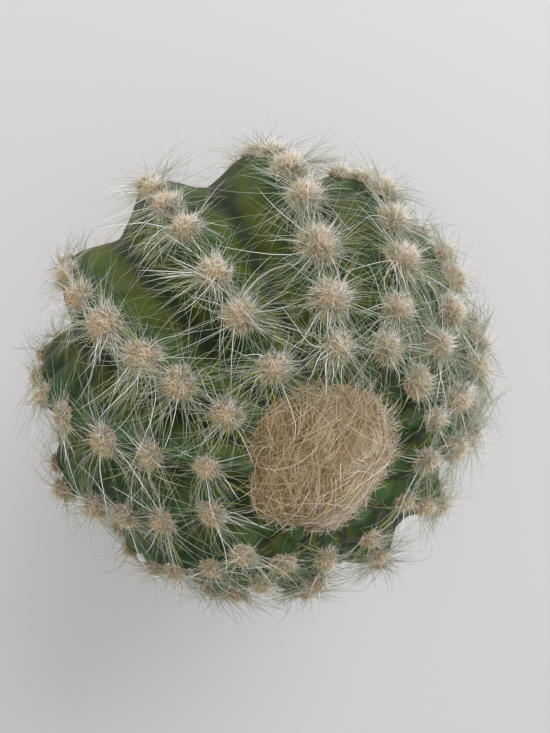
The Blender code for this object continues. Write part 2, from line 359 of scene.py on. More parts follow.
def skin(polar, turn):
    """Radius = ball - rib depth x pleat(across) - dips of the crest - creases of the flank + slow swells.
    Lower down the flesh is fuller, and on the side it leans to the ribs are pressed together, so the furrows
    are shallower there."""
    polar, turn = np.broadcast_arrays(np.asarray(polar, float), np.asarray(turn, float))
    across = 2 * np.abs(turn - np.round(turn))
    pleat = 0.25 * across**1.6 + 0.75 * np.sin(across * np.pi / 2) ** 1.8
    grown = down_skin(FURROWS_DEEPEN, polar)
    worn = 1 - 0.75 * down_skin(FURROWS_FADE, polar)
    wave = 0.5 + 0.5 * np.cos(2 * np.pi * hump_phase(polar))
    humped = down_skin(HUMPS_RISE, polar) * worn
    around = bearing(turn)
    leaning_side = smooth_step(0.6, 0.98, np.cos(around + np.radians(4)))
    pressed = 1 - (0.35 + 0.4 * down_skin(LEANING_SIDE_FILLS, polar)) * leaning_side
    fuller = 1 - 0.42 * down_skin(FLESH_FILLS, polar)
    radius = ball_radius(polar) - RIB_DEPTH * grown * worn * pressed * fuller * pleat
    radius = radius - HUMP * humped * (1 - wave) ** 1.5 * (1 - across)
    radius = radius - CREASE * humped * (1 - wave) ** 3 * np.sin(across * np.pi)
    heading = around_axis(np.sin(polar), around, np.cos(polar))
    radius = radius + humped * (0.4 * MM * swell(heading, 0.5, 3) + 0.16 * MM * swell(heading, 0.16, 4))
    return heading * radius[..., None]


def skin_frame(polar, turn):
    """Place, direction down the rib, direction across and the outward normal, from small steps."""
    step = 1e-3
    place = skin(polar, turn)
    down = unit(skin(polar + step, turn) - skin(polar - step, turn))
    across = unit(skin(polar, turn + step) - skin(polar, turn - step))
    return place, down, across, unit(np.cross(down, across))


# %% [markdown]
# The skin's colour is not one green. It is dark and blue-green with a waxy bloom where the flesh is old,
# yellower in the furrows where it is new and thin, and corky brown at the foot. The floors of the furrows
# are darkened as painted shade. Two numbers stored on the mesh, the furrow share and the age, let the
# colours follow the ribs.

# %% Material of the skin
DEEP_GREEN, LIGHT_GREEN = (0.009, 0.025, 0.005), (0.035, 0.072, 0.016)
WAX, FRESH_GREEN, PAINTED_FURROW_SHADOW = (0.055, 0.1, 0.058), (0.075, 0.095, 0.012), (0.004, 0.009, 0.003)
PALE_FLECK, SCAR_BROWN, CORK = (0.1, 0.14, 0.09), (0.12, 0.085, 0.04), (0.2, 0.14, 0.08)


def skin_material():
    """Green clouds, then wax on the crests, new flesh on the flanks, painted shade on the furrows' floors,
    flecks and scars, and cork at the foot, each mixed over the ones before."""
    recipe = Recipe("cactus_skin", Specular_IOR_Level=0.22)
    furrow, age = recipe.attribute("furrow"), recipe.attribute("age")
    cloud = recipe.noise(110, 4.0, 0.55)
    fleck = recipe.noise(900, 3.0, 0.6)
    green = recipe.mix(cloud.between(0.35, 0.65), DEEP_GREEN, LIGHT_GREEN)
    bloom = recipe.noise(90, 4.0, 0.6).between(0.42, 0.7) * (1 - furrow)
    green = recipe.mix(bloom * 0.5, green, WAX)
    flank = furrow.between(0.25, 0.6) * (1 - furrow.between(0.8, 1.0))
    fresh = flank * recipe.noise(75, 2.0, 0.5).between(0.36, 0.6)
    green = recipe.mix(fresh * 0.75, green, FRESH_GREEN)
    # Painted shade: the furrows' floors are darkened where shade falls in them.
    green = recipe.mix(furrow.between(0.65, 1.0) * 0.75, green, PAINTED_FURROW_SHADOW)
    green = recipe.mix(fleck.between(0.6, 0.8) * 0.25, green, PALE_FLECK)
    scar = recipe.noise(160, 5.0, 0.7).between(0.68, 0.76)
    green = recipe.mix(scar * 0.5, green, SCAR_BROWN)
    cork = age.between(0.55, 0.95) * recipe.noise(300, 4.0, 0.6).between(0.3, 0.6)
    recipe.feed("Base Color", recipe.mix(cork, green, CORK))
    recipe.feed("Roughness", 0.42 + 0.2 * cloud + 0.3 * cork)
    pores = recipe.noise(2600, 2.0, 0.5)
    wrinkles = recipe.noise(420, 4.0, 0.55)
    recipe.bump(pores * 0.3 + wrinkles, 0.12 * MM, 0.6)
    return recipe.material


# %% Build the skin
COLUMNS_PER_RIB = 28
SKIN_ROWS = 168
NECK_ROWS = 3


def neck_rings(around):
    """Rings that close the ball below: between foot and neck, at the neck, and half way down the root."""
    foot_radius = (BALL_RADIUS - 0.25 * RIB_DEPTH) * np.sin(BODY_FOOT)
    heights = np.array([(BALL_RADIUS * np.cos(BODY_FOOT) + SOLE) / 2, SOLE, SOLE - ROOT_LENGTH / 2])
    radii = np.array([(foot_radius + NECK_RADIUS) / 2, NECK_RADIUS, 0.5 * NECK_RADIUS])
    return around_axis(radii[:, None], around, heights[:, None])


def make_skin():
    """The skin's grid, from the crown to the foot, then in to the neck and down to the root's tip."""
    polar = np.linspace(0.006, BODY_FOOT, SKIN_ROWS)[:, None]
    turn = np.arange(RIB_COUNT * COLUMNS_PER_RIB)[None] / COLUMNS_PER_RIB
    rings = np.concatenate([skin(polar, turn), neck_rings(bearing(turn))])
    points, faces = closed_shape(rings, skin(0.0, 0.0), (0, 0, SOLE - ROOT_LENGTH))
    piece = make_piece("skin", to_frame(points), faces, skin_material())
    across = np.broadcast_to(2 * np.abs(turn - np.round(turn)), rings.shape[:2])
    aged = np.broadcast_to(np.append(polar / BODY_FOOT, np.ones(NECK_ROWS))[:, None], rings.shape[:2])
    for name, values in (("furrow", across), ("age", aged)):
        layer = piece.data.attributes.new(name, "FLOAT", "POINT")
        layer.data.foreach_set("value", np.append(values.ravel(), [0, 1]).astype(np.float32))
    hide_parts("cactus_body")
    print("skin", len(points), "points")


make_skin()

# %% [markdown]
# ## Strands
#
# Wool, bristles and crown hair are all thin tapered strands, and only their paths differ. A strand is a
# three-sided tube along its path, closed by a cap at the root and a point at the tip. Blender's hair curves
# would render well, but they are not solids. Each strand keeps two numbers in its map: its shade, from 0 to 1
# across the map, and how far along it is, up the map. The materials read only those.

# %% Strand tubes
STRAND_SIDES = 3
STRAND_TAPER = 0.75
MAP_MARGIN = 0.02
MAP_SPREAD, MAP_STAGGER = 0.012, 0.008  # how far a ring's corners stand apart, so that each face has an area


def strand_tubes(paths, widths, shades):
    """Points, faces and map of tubes. paths is strands x stations x 3, and the last station is the tip.
    Radius = half width x (1 - taper x share^2), and every ring is square to its path."""
    count, stations, _ = paths.shape
    rings = stations - 1
    heading = unit(np.gradient(paths, axis=1))[:, :rings]
    guide = np.where(np.abs(heading[:, :1, 2:]) > 0.8, [[[1.0, 0, 0]]], [[[0, 0, 1.0]]])
    side = unit(np.cross(heading, guide))
    other = np.cross(heading, side)
    share = np.linspace(0, 1, stations)[:rings]
    radius = 0.5 * widths[:, None] * (1 - STRAND_TAPER * share**2)
    angle = 2 * np.pi * np.arange(STRAND_SIDES) / STRAND_SIDES
    spoke = np.cos(angle)[:, None] * side[:, :, None] + np.sin(angle)[:, None] * other[:, :, None]
    ring_points = paths[:, :rings, None] + radius[:, :, None, None] * spoke
    points = np.concatenate([ring_points.reshape(count, -1, 3), paths[:, -1:]], axis=1)
    corner = np.arange(STRAND_SIDES)
    following = (corner + 1) % STRAND_SIDES
    ring = np.arange(rings - 1)[:, None] * STRAND_SIDES
    here, after = ring + corner, ring + following
    walls = np.stack([here, after, after + STRAND_SIDES, here + STRAND_SIDES], -1).reshape(-1, 4)
    last, tip = (rings - 1) * STRAND_SIDES, np.full(STRAND_SIDES, rings * STRAND_SIDES)
    ends = np.concatenate([np.stack([last + corner, last + following, tip], -1), corner[None, ::-1]])
    offset = np.arange(count)[:, None, None] * (rings * STRAND_SIDES + 1)
    faces = [(offset + some).reshape(-1, some.shape[1]) for some in (walls, ends)]
    spread = np.tile(np.array([-1, 0, 1]) * MAP_SPREAD, rings)
    across = np.clip(shades, MAP_MARGIN, 1 - MAP_MARGIN)[:, None] + np.append(spread, 0)
    along = np.append(np.repeat(share, STRAND_SIDES), 1.0) * (1 - 2 * MAP_MARGIN) + MAP_MARGIN
    along = along + np.append(np.tile(np.array([0, MAP_STAGGER, 0]), rings), 0)
    uv = np.stack([across, np.broadcast_to(along, across.shape)], -1)
    return points.reshape(-1, 3), faces, uv.reshape(-1, 2)


def make_strands(name, paths, widths, shades, material):
    """One piece of strands, with its paths given in the plant's axes."""
    points, faces, uv = strand_tubes(paths, widths, shades)
    return make_piece(name, to_frame(points), faces, material, uv)


# %% [markdown]
# Wool and bristles are dead, dry tissue, faintly glossy, and tan where they are thick at the root. One colour
# for all of them would look like nylon. A ramp across the shades gives each strand its own colour, and a mix
# along the strand warms its root.

# %% Materials of the strands
def strand_material(name, shades, root, root_share, roughness):
    """Colour = ramp of the strand's shade, mixed over its first root_share with the root's colour."""
    recipe = Recipe(name, Roughness=roughness)
    strand_map = recipe.node("ShaderNodeUVMap", {"uv_map": "OFBake"})
    across = recipe.node("ShaderNodeSeparateXYZ", {}, {0: strand_map}, "X")
    along = recipe.node("ShaderNodeSeparateXYZ", {}, {0: strand_map}, "Y")
    colour = recipe.node("ShaderNodeValToRGB", {"stops": shades}, {0: across})
    near_root = (1 - along.between(0.0, root_share)) * 0.8
    recipe.feed("Base Color", recipe.mix(near_root, colour, root))
    return recipe.material


WOOL_SHADES = [
    (0.0, (0.46, 0.33, 0.17)),
    (0.3, (0.7, 0.56, 0.36)),
    (0.6, (0.82, 0.74, 0.61)),
    (1.0, (0.93, 0.91, 0.9)),
]
BRISTLE_SHADES = [
    (0.0, (0.5, 0.45, 0.14)),
    (0.12, (0.3, 0.32, 0.17)),
    (0.4, (0.29, 0.33, 0.23)),
    (0.75, (0.47, 0.5, 0.43)),
    (1.0, (0.9, 0.88, 0.83)),
]
CROWN_SHADES = [
    (0.0, (0.21, 0.135, 0.05)),
    (0.3, (0.46, 0.335, 0.16)),
    (0.65, (0.62, 0.52, 0.38)),
    (1.0, (0.88, 0.83, 0.76)),
]
wool_stuff = strand_material("areole_wool", WOOL_SHADES, (0.48, 0.34, 0.2), 0.6, 0.45)
bristle_stuff = strand_material("bristle", BRISTLE_SHADES, (0.5, 0.4, 0.26), 0.2, 0.25)
crown_stuff = strand_material("crown_hair", CROWN_SHADES, (0.34, 0.24, 0.13), 0.12, 0.5)

# %% [markdown]
# ## Areoles
#
# An areole is a cushion of felt on the crest of a rib, with wool and bristles growing from it. Hair on a bare
# skin would show the green between its roots, so each areole gets a small dome of felt first. It is made on
# flat ground and then stood on the rib, in the axes that the skin's own formula gives there.

# %% Cushions of felt
CUSHION_LONG = 2.2 * MM  # half length, down the rib
CUSHION_WIDE = 2.1 * MM
CUSHION_RISE = 1.5 * MM


def in_skin_axes(local, down, across, out):
    """Local places, x down the rib, y across it and z outward, turned into the plant's axes."""
    return local[..., :1] * down + local[..., 1:2] * across + local[..., 2:3] * out


def cushion(polar, turn, size, seed):
    """A dome on the skin: height = rise x (1 - share^2), with lumps, its edge sunk under the skin."""
    columns, rows = 16, 6
    share = np.linspace(0.15, 1.0, rows)[:, None]
    rise = CUSHION_RISE * (1 - share**2) - 0.4 * MM * share**4
    local = around_axis(share, bearings(columns), rise) * [CUSHION_LONG, CUSHION_WIDE, 1]
    local = local * (1 + 0.08 * swell(local, 1.5 * MM, seed))[..., None]
    foot = local[-1:] * [0.9, 0.9, 1.0] - [0, 0, 0.8 * MM]
    rings = np.concatenate([local, foot])
    dome, faces = closed_shape(rings, (0, 0, CUSHION_RISE), (0, 0, -1.2 * MM))
    place, down, across, out = skin_frame(polar, turn)
    return place + in_skin_axes(dome * size, down, across, out), *faces


def felt_material(name, scale, detail, colours, height):
    """Matted felt: one mottle of noise sets both its colour and its bump."""
    recipe = Recipe(name, Roughness=0.9)
    mottle = recipe.noise(scale, detail, 0.7)
    darkest, palest, deep, pale = colours
    recipe.feed("Base Color", recipe.mix(mottle.between(darkest, palest), deep, pale))
    recipe.bump(mottle, height)
    return recipe.material


CUSHION_COLOURS = (0.35, 0.65, (0.26, 0.175, 0.095), (0.54, 0.41, 0.26))
felt_stuff = felt_material("areole_felt", 2600, 4.0, CUSHION_COLOURS, 0.2 * MM)

# %% [markdown]
# Short wool stands on the cushion like a worn brush: the middle points straight out and the edge lies flat.
# Straight wool would make it look like a sea urchin, so each strand strays and bends at random. Wool is
# painted paler where it faces the light, a painted highlight, and longer floss grows there, paler still.

# %% Wool
WINDOW_SIDE = np.array([-0.4, 0.9, 0.1])  # where the light came from, in the plant's axes
FLOSS_CHANCE = 0.3


def wool_paths(rng, polar, turn, count, size):
    """Short curly strands. Root = a place on the cushion's dome, tilt = 75 degrees x share^1.5 of the way
    out, and path = root + length x (heading s + bend s^2)."""
    place, down, across, out = skin_frame(polar, turn)
    share = rng.uniform(0, 1, count) ** 0.5 * 1.04
    aim = rng.uniform(0, 2 * np.pi, count)
    tilt = np.radians(75) * share**1.5
    long, wide = rng.uniform(0.8, 1.08, 2)
    root = around_axis(share, aim, CUSHION_RISE * (1 - share**2) - 0.35 * MM)
    root = root * [CUSHION_LONG * long, CUSHION_WIDE * wide, 1]
    heading = around_axis(np.sin(tilt), aim, np.cos(tilt))
    heading = unit(heading + rng.normal(0, 0.42, (count, 3)))
    bend = rng.normal(0, 0.5, (count, 3))
    # window: how far a root lies towards the tuft's side that faces the light; it places the floss and paints
    # that side paler
    window = in_skin_axes(root, down, across, out)[:, 1] / CUSHION_WIDE + rng.normal(0, 0.35, count)
    floss = (window > 0.2) & (rng.uniform(0, 1, count) < FLOSS_CHANCE)
    length = rng.uniform(0.55, 1.1, count) * MM
    length = np.where(floss, rng.uniform(1.0, 1.9, count) * MM, length)
    step = np.linspace(0, 1, 3)[:, None]
    local = root[:, None] + length[:, None, None] * (heading[:, None] * step + bend[:, None] * step**2)
    paths = place + in_skin_axes(local * size, down, across, out)
    tuft = swell(root, 0.8 * MM, int(1e4 * polar))
    # Painted highlight: wool is painted paler on the areoles and the sides of tufts that face the light, and
    # the floss there paler still.
    lit = place @ WINDOW_SIDE / BALL_RADIUS
    shades = 0.3 + 0.12 * lit + 0.16 * share**2 + 0.22 * window + 0.14 * tuft + rng.normal(0, 0.14, count)
    return paths, np.clip(np.where(floss, shades + 0.35, shades), 0, 1)


# %% [markdown]
# The bristles are long and fine. Most lie low and reach across the furrows to the next rib, more of them
# towards the crown than away from it. Even spacing would look combed. On the plant they leave in sprays that
# curl together, with loose ones between, so each areole draws its own few sprays and shares its bristles out.

# %% Bristles
SPRAYS = 9
LOOSE_CHANCE = 0.4
YELLOW_CHANCE, YELLOW_SHADE = 0.08, 0.03
WHITE_CHANCE, WHITE_SHADE = 0.09, 1.0


def bristle_paths(rng, polar, turn, count, size, lifted):
    """Long strands, tilted 55 to 90 degrees in sprays whose strands curl alike, or loose in any direction.
    Those that head for the crown are lifted, by up to that many radians, so that they clear its pad.
    Path = root + length x (heading s + (curl sideways - droop) s^2 + wave sin(2 pi s))."""
    place, down, across, out = skin_frame(polar, turn)
    spray_aim = 2 * np.pi * (np.arange(SPRAYS) + rng.uniform(0, 1, SPRAYS)) / SPRAYS
    spray_aim = spray_aim - 0.5 * np.sin(spray_aim)
    spray_tilt = rng.uniform(0.95, 1.55, SPRAYS)
    spray_curl = rng.normal(0, 0.36, SPRAYS)
    spray = rng.choice(SPRAYS, count, p=rng.dirichlet(np.full(SPRAYS, 2.0)))
    loose = rng.uniform(0, 1, count) < LOOSE_CHANCE
    aim = np.where(loose, rng.uniform(0, 2 * np.pi, count), spray_aim[spray] + rng.normal(0, 0.2, count))
    tilt = np.where(loose, rng.uniform(0.7, 1.5, count), spray_tilt[spray] + rng.normal(0, 0.12, count))
    toward_crown = 0.5 + 0.5 * np.cos(aim)
    tilt = tilt - lifted * toward_crown
    heading = around_axis(np.sin(tilt), aim, np.cos(tilt)) * [-1, 1, 1]
    root = heading * [1.7 * MM, 1.6 * MM, 0.9 * MM] * rng.uniform(0.0, 1.0, count)[:, None]
    root = root + rng.normal(0, 0.4 * MM, (count, 3)) * [1, 1, 0]
    heading = unit(heading + rng.normal(0, 0.14, (count, 3)))
    sideways = unit(np.cross(heading, [0, 0, 1.0]))
    curl = np.where(loose, rng.normal(0, 0.4, count), spray_curl[spray] + rng.normal(0, 0.12, count))
    length = (4.6 + 7.6 * rng.beta(1.6, 1.6, count)) * MM * (0.75 + 0.35 * toward_crown)
    length = length * (0.4 + 0.6 * np.sin(tilt) ** 2) * (1 - 0.22 * place[0] / BALL_RADIUS)
    droop = np.array([0, 0, 1.0]) * rng.uniform(0.0, 0.35, count)[:, None]
    bend = curl[:, None] * sideways + rng.normal(0, 0.1, (count, 3)) - droop
    wave = rng.normal(0, 0.018, (count, 3))
    step = np.linspace(0, 1, 7)[:, None]
    course = heading[:, None] * step + bend[:, None] * step**2 + wave[:, None] * np.sin(2 * np.pi * step)
    local = root[:, None] + length[:, None, None] * course
    paths = place + in_skin_axes(local * size, down, across, out)
    # Painted light: bristles are painted a little paler on the side of the ball that faces the light.
    shades = 0.1 + 0.76 * rng.beta(1.3, 1.9, count) + 0.06 * place @ WINDOW_SIDE / BALL_RADIUS
    odd = rng.uniform(0, 1, count)
    shades = np.where(odd > 1 - WHITE_CHANCE, WHITE_SHADE, shades)
    return paths, np.where(odd < YELLOW_CHANCE, YELLOW_SHADE, shades)


# %% [markdown]
# Each rib carries a row of areoles, and every row is drawn anew, because a plant repeats nothing exactly. The
# youngest, at the crown, are still small, and the old ones low down have worn. All the wool of a row is one
# piece, its bristles another and its cushions a third: a piece for each areole would make hundreds.

# %% Rows of areoles on the ribs
WOOL_COUNT = 1250  # strands on an areole of size 1
BRISTLE_COUNTS = ([0, 3, 5], [130, 130, 85])  # by the areole's number down the rib
BRISTLE_REACHES = ([2, 5], [1.03, 0.75])
AREOLE_SIZES = ([0, 1, 2, 4, 7], [0.8, 0.88, 0.96, 0.9, 0.7])
CROWN_LIFT = 0.4  # radians
STRAND_KINDS = (("wool", wool_stuff, 0.055, 0.09), ("bristles", bristle_stuff, 0.045, 0.1))  # widths in mm


def rib_areoles(rib):
    """Polar angles and sizes of one rib's areoles, down to the pot's rim. They are larger where they had more
    light, and on the side that it leans away from."""
    rng = np.random.default_rng(40 + rib)
    polars = AREOLE_POLARS + rng.normal(0, 0.02, len(AREOLE_POLARS))
    places = skin(polars, np.full(len(polars), float(rib)))
    from_middle = places / BALL_RADIUS
    sizes = np.interp(np.arange(len(polars)), *AREOLE_SIZES) * rng.uniform(0.9, 1.1, len(polars))
    sizes = sizes * (0.96 + 0.16 * from_middle @ WINDOW_SIDE - 0.07 * from_middle[:, 0])
    kept = to_frame(places)[:, 2] > POT_HEIGHT + 3 * MM
    return polars[kept], sizes[kept]


def join_cushions(name, cushions):
    """One piece from a row of cushions, with each one's faces counted on from the points before it."""
    points = np.concatenate([cushion_points for cushion_points, _, _ in cushions])
    each = len(points) // len(cushions)
    quads, caps = (
        np.concatenate([faces[kind] + each * index for index, faces in enumerate(cushions)])
        for kind in (1, 2)
    )
    return make_piece(name, to_frame(points), [quads, caps], felt_stuff)


def make_areoles(rib):
    rng = np.random.default_rng(100 + rib)
    grown = {"wool": [], "bristles": []}
    cushions = []
    for index, (polar, size) in enumerate(zip(*rib_areoles(rib))):
        lifted = CROWN_LIFT * (index == 0)
        grown["wool"].append(wool_paths(rng, polar, float(rib), int(WOOL_COUNT * size**2), size))
        bristles = int(np.interp(index, *BRISTLE_COUNTS) * size**2)
        reach = np.interp(index, *BRISTLE_REACHES) * size**0.3
        grown["bristles"].append(bristle_paths(rng, polar, float(rib), bristles, reach, lifted))
        cushions.append(cushion(polar, float(rib), 0.9 * size, rib * 20 + index))
    pieces = []
    for part, stuff, thin, thick in STRAND_KINDS:
        paths, shades = (np.concatenate(arrays) for arrays in zip(*grown[part]))
        widths = (thin + (thick - thin) * rng.uniform(0, 1, len(paths)) ** 1.5) * MM
        widths = np.where(shades > 0.99, thick * MM, widths)
        pieces.append(make_strands(f"{part}_{rib + 1:02d}", paths, widths, shades, stuff))
    pieces.append(join_cushions(f"felt_{rib + 1:02d}", cushions))
    for piece in pieces:
        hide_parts(f"areole_row_{rib + 1:02d}")
    return sum(len(piece.data.polygons) for piece in pieces)


print("areole faces", sum(make_areoles(rib) for rib in range(RIB_COUNT)))

# %% [markdown]
# ## The crown
#
# New areoles crowd together at the growing point, and their hair mats into one thick pad. A texture of hair
# on a dome would look flat at its outline. Here a dome of felt, painted dark as the shade in the gaps between
# the locks, only fills the pad, and strands are laid over it in locks, as hair mats: an under coat, a paler
# one over it, strays, and a fringe round the edge. A lock is painted darker the lower it lies, as painted
# shade, and paler on the side that faces the light, as painted light.

# %% Shape of the crown
PAD_RADIUS = 10.2 * MM
PAD_HEIGHT = 2.5 * MM
PAD_SHIFT = -1.5 * MM  # the pad sits a little up the lean from the axis
CORE_DEPTH = 0.35 * MM  # the felt lies this far under the pad's surface
# Painted shade: the felt core is brown felt coloured dark so that the gaps between the locks look shaded.
PAINTED_SHADE_CORE_COLOURS = (0.35, 0.7, (0.1, 0.065, 0.03), (0.34, 0.24, 0.12))


def pad_outline(x, y):
    """Radius of the pad on this bearing, in PAD_RADIUS: wavy, and drawn in on the side it leans to."""
    drawn_in = smooth_step(0.4, 1.0, np.cos(np.arctan2(y, x) - np.radians(14)))
    return 1 + 0.08 * swell(flat(x, y), 12 * MM, 22) - 0.12 * drawn_in


def pad_reach(x, y):
    """How far out a place is: 0 at the pad's middle and 1 on its outline."""
    return np.hypot(x, y) / PAD_RADIUS / pad_outline(x, y)


def pad_height(x, y):
    """Height of the pad over the skin, a low dome with slow lumps: height x (1 - reach^2.4) x (1 + lumps)."""
    lumps = 0.12 * swell(flat(x, y), 8 * MM, 21) + 0.06 * swell(flat(x, y), 3 * MM, 23)
    return PAD_HEIGHT * np.clip(1 - pad_reach(x, y) ** 2.4, 0, 1) * (1 + lumps)


def pad_place(x, y, lift):
    """A place over the skin at x and y from the pad's middle, lifted off the pad."""
    centred = x + PAD_SHIFT
    radius = np.hypot(centred, y)
    base = np.sqrt(np.clip(ball_radius(radius / BALL_RADIUS) ** 2 - radius**2, 0, None))
    return np.stack([centred, y, base + pad_height(x, y) + lift], -1)


def make_pad_core():
    """The felt under the hair, painted dark as the shade in the gaps between the locks: a closed dome, its
    top from the pad's formula and its foot in the skin.
    """
    columns, rows = 96, 26
    radius = PAD_RADIUS * np.linspace(0.02, 1.0, rows)[:, None]
    x, y = radius * np.cos(bearings(columns)), radius * np.sin(bearings(columns))
    top = pad_place(x, y, -CORE_DEPTH)
    foot = top[-1:] - [0, 0, 3 * MM]
    under = (0, 0, foot[0, :, 2].mean())
    points, faces = closed_shape(np.concatenate([top, foot]), pad_place(0.0, 0.0, -CORE_DEPTH), under)
    stuff = felt_material("crown_felt", 900, 5.0, PAINTED_SHADE_CORE_COLOURS, 0.3 * MM)
    return make_piece("crown_felt", to_frame(points), faces, stuff)


# %% Locks of the crown
GRAIN = np.radians(128)  # the way that the hair runs in the middle of the pad


def grain_at(x, y):
    """Direction of the mat's grain: round the pad at its edge, as in a nest, and one way in its middle. They
    are mixed as double angles, because a strand has no front, and the result wanders."""
    wander = swell(flat(x, y), 13 * MM, 5)
    edge = smooth_step(0.25, 0.9, np.hypot(x, y) / PAD_RADIUS) * (0.75 - 0.25 * x / PAD_RADIUS)
    round_it, one_way = 2 * (np.arctan2(y, x) + np.pi / 2), 2 * GRAIN
    east = edge * np.cos(round_it) + (1 - edge) * np.cos(one_way)
    north = edge * np.sin(round_it) + (1 - edge) * np.sin(one_way)
    return 0.5 * np.arctan2(north, east) + 0.3 * wander


def walk(x, y, stride, heading):
    """Places of paths that go on from x and y by one stride after another along the heading."""
    xs = x[:, None] + np.cumsum(stride[:, None] * np.cos(heading), axis=1)
    ys = y[:, None] + np.cumsum(stride[:, None] * np.sin(heading), axis=1)
    return xs, ys


def crown_paths(rng, locks, each, stations, shortest, longest, scatter, low, high):
    """Strands laid over the pad in locks. The strands of a lock start near each other and share a heading, a
    curve, a depth and a shade, and each strays a little from them. A strand that runs past the edge hangs
    down beside it."""
    count = locks * each
    share = np.sqrt(rng.uniform(0, 1, locks)) * 1.02
    around = rng.uniform(0, 2 * np.pi, locks)
    out = PAD_RADIUS * share * pad_outline(PAD_RADIUS * np.cos(around), PAD_RADIUS * np.sin(around))
    x, y = out * np.cos(around), out * np.sin(around)
    grain = grain_at(x, y) + rng.normal(0, scatter, locks)
    depth = rng.uniform(low, high, locks) * MM
    # Painted shade and light: a lock is painted darker the lower it lies in the mat and paler towards the
    # side that faces the light; it is also paler towards the side the plant leans to.
    shade = 0.32 * depth / MM + 0.16 * (1.1 * x + 0.8 * y) / PAD_RADIUS + rng.normal(0, 0.15, locks)
    curve, length = rng.normal(0, 0.7, locks), rng.uniform(shortest, longest, locks) * MM
    x, y, grain, depth, shade, curve, length = (
        np.repeat(values, each) for values in (x, y, grain, depth, shade, curve, length)
    )
    x, y = x + rng.normal(0, 0.22 * MM, count), y + rng.normal(0, 0.22 * MM, count)
    grain, curve = grain + rng.normal(0, 0.13, count), curve + rng.normal(0, 0.2, count)
    length = length * rng.uniform(0.6, 1.2, count)
    share_along = np.linspace(-0.5, 0.5, stations)
    heading = grain[:, None] + curve[:, None] * share_along
    xs, ys = walk(x, y, length / (stations - 1), heading)
    half = 0.5 * length[:, None]
    xs, ys = xs - half * np.cos(grain)[:, None], ys - half * np.sin(grain)[:, None]
    reach = pad_reach(xs, ys)
    pull = np.where(reach > 1.0, (1.0 + 0.6 * (reach - 1.0)) / np.maximum(reach, 1e-6), 1.0)
    xs, ys = xs * pull, ys * pull
    arch = np.sin(np.pi * (share_along + 0.5)) * rng.uniform(-0.2, 0.9, count)[:, None]
    over_edge = np.clip(reach - 1.0, 0, None) * -2.5 * MM
    lift = depth[:, None] + rng.uniform(-0.1, 0.1, count)[:, None] * MM + 0.3 * MM * arch + over_edge
    shades = np.clip(0.28 + shade + rng.normal(0, 0.12, count), 0, 1)
    return pad_place(xs, ys, lift), shades


def fringe_paths(rng, count, stations):
    """Pale strands that leave the pad's edge, most of them outward and on the sides of the window and of the
    lean, and lie down over the ribs."""
    around = rng.normal(np.radians(40), np.radians(65), count)
    edge = pad_outline(PAD_RADIUS * np.cos(around), PAD_RADIUS * np.sin(around))
    start = PAD_RADIUS * edge * rng.uniform(0.7, 1.0, count)
    heading = around + rng.normal(0, 0.8, count)
    length = rng.uniform(1.5, 4.5, count) * MM
    step = np.linspace(0, 1, stations)
    heading = heading[:, None] + rng.normal(0, 0.8, count)[:, None] * step
    xs, ys = walk(start * np.cos(around), start * np.sin(around), length / (stations - 1), heading)
    past = np.clip(pad_reach(xs, ys) - 1.0, 0, None)
    rise = np.sin(np.pi * 0.8 * step) * rng.uniform(0.1, 0.9, count)[:, None] * MM
    return pad_place(xs, ys, rise - 2.0 * MM * past), np.clip(rng.normal(0.75, 0.2, count), 0, 1)


# %% Grow the crown
CROWN_LAYERS = (
    # name, locks, strands in each, stations, then in mm, but for the scatter: shortest, longest, scatter,
    # lowest, highest, thinnest, thickest
    ("under", 420, 10, 7, 3, 8, 0.22, -0.5, 0.25, 0.05, 0.085),
    ("over", 300, 7, 8, 4, 9, 0.4, -0.1, 0.5, 0.038, 0.068),
    ("stray", 240, 1, 9, 5, 13, 0.8, 0.2, 1.2, 0.04, 0.11),
)
FRINGE_COUNT, FRINGE_STATIONS, FRINGE_WIDTHS = 700, 6, (0.045, 0.08)


def make_crown():
    rng = np.random.default_rng(7)
    pieces = [make_pad_core()]
    for layer, locks, each, stations, shortest, longest, scatter, low, high, thin, thick in CROWN_LAYERS:
        paths, shades = crown_paths(rng, locks, each, stations, shortest, longest, scatter, low, high)
        widths = rng.uniform(thin, thick, len(paths)) * MM
        pieces.append(make_strands(f"crown_hair_{layer}", paths, widths, shades, crown_stuff))
    paths, shades = fringe_paths(rng, FRINGE_COUNT, FRINGE_STATIONS)
    widths = rng.uniform(*FRINGE_WIDTHS, len(paths)) * MM
    pieces.append(make_strands("crown_hair_fringe", paths, widths, shades, crown_stuff))
    for piece in pieces:
        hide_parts("crown_wool")
    print("crown", [len(piece.data.polygons) for piece in pieces])


make_crown()

# %% [markdown]
# ## The pot
#
# The pot is a thin cup of terracotta-brown plastic, pressed in one mould: a tapered wall, a flat base with
# drain holes, and a thick band round the mouth that stops it bending. A lathe shape is one profile turned
# round, so the profile is worked out as short arcs and straight runs, with every edge rounded as the mould
# rounds it. The drain holes are cut with a Boolean, which is applied at once.

# %% Profile of the pot
POT_WALL = 1.0 * MM
POT_FLOOR = 1.4 * MM
BAND_HEIGHT = 9 * MM
BAND_STEP = 1.1 * MM
POT_BASE_RADIUS = 19 * MM
DRAIN_COUNT, DRAIN_RADIUS, DRAIN_CIRCLE = 6, 1.8 * MM, 12 * MM
DRAIN_CUT = (-3 * MM, 5 * MM)  # heights of the cutter's ends


def wall_radius(height):
    """Outside of the tapered wall: a straight line from the base to the mouth."""
    top = POT_RADIUS - BAND_STEP
    return POT_BASE_RADIUS + (top - POT_BASE_RADIUS) * height / POT_HEIGHT


def inner_radius(height):
    return wall_radius(height) - POT_WALL


def arc(centre, radius, start, end, count=6):
    """Points on an arc, from one angle in degrees to another."""
    angle = np.radians(np.linspace(start, end, count))
    return np.stack([centre[0] + radius * np.cos(angle), centre[1] + radius * np.sin(angle)], -1)


def run(start, end, count):
    """Evenly spaced points on a straight run, without its ends."""
    share = np.linspace(0, 1, count + 2)[1:-1, None]
    return np.array(start) * (1 - share) + np.array(end) * share


